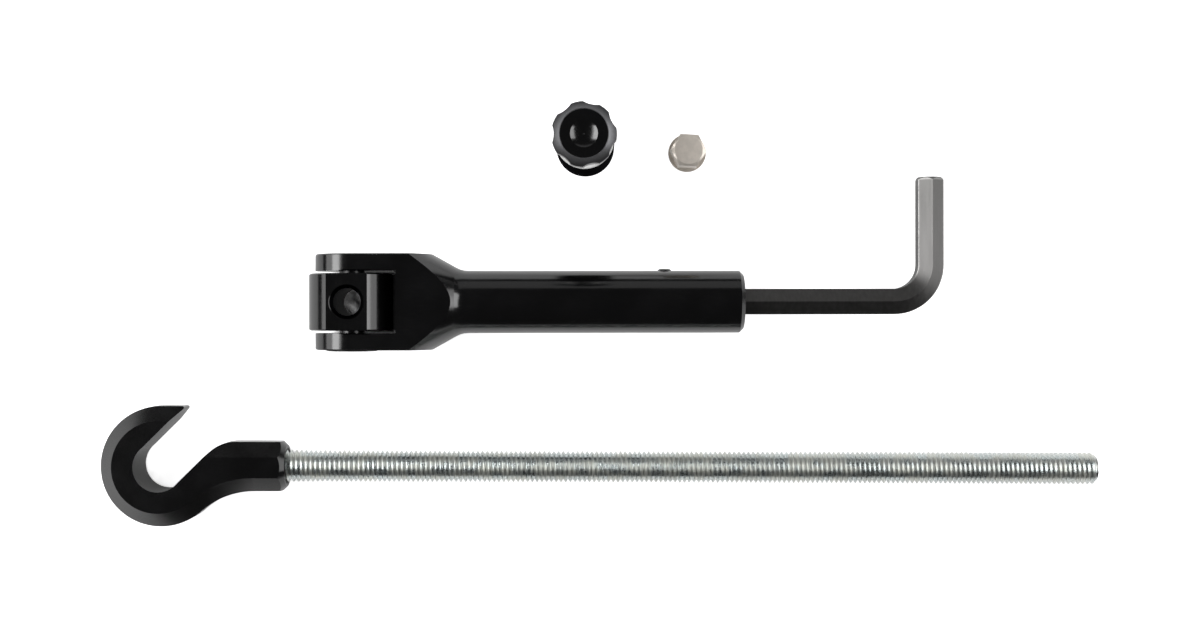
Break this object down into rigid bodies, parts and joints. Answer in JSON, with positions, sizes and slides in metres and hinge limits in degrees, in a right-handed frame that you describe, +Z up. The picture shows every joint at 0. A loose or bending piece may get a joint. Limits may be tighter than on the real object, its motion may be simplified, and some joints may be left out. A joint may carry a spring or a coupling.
{
  "type": "crank bolt tool",
  "caption": "Crank bolt tool laid out in its loose groups: forked lever with swivelling tapped block and bent hex key, hook on a threaded rod, short axle with lobed knob, hex adapter.",
  "frame": {"origin": "the lever's pivot, in the middle of the swivel block's tapped bore", "axes": "+X along the lever towards the hex key, +Y towards the axle and the key's free end, +Z up from the table along the tapped bore"},
  "size_m": [0.3128, 0.129, 0.042],
  "materials": {
    "black_oxide": "black oxide, satin",
    "key_steel": "dark alloy steel, worn at the tip",
    "screw_steel": "black oxide",
    "zinc": "zinc-plated",
    "sleeve_black": "black, satin",
    "washer_steel": "bright, turned",
    "spindle_steel": "turned",
    "knob_metal": "dark anodised, satin",
    "adapter_steel": "nickel-plated, satin"
  },
  "bodies": {
    "root": {"lever_body": "black_oxide", "pivot_screw_front": "screw_steel", "pivot_screw_rear": "screw_steel", "hex_key": "key_steel", "grub_screw": "screw_steel", "hook": "black_oxide", "threaded_rod": "zinc", "axle_sleeve": "sleeve_black", "axle_washer": "washer_steel", "hex_adapter": "adapter_steel"},
    "swivel": {"swivel_block": "black_oxide"},
    "axle_screw": {"axle_spindle": "spindle_steel", "axle_knob": "knob_metal"}
  },
  "joints": [
    {"name": "block_swivel", "type": "hinge", "parent": "root", "child": "swivel", "pos_m": [0, 0, 0], "axis": [0, 1, 0], "continuous": true},
    {"name": "knob_turn", "type": "hinge", "parent": "root", "child": "axle_screw", "pos_m": [0.07275, 0.0493, -0.01191], "axis": [0, 0, 1], "continuous": true}
  ]
}
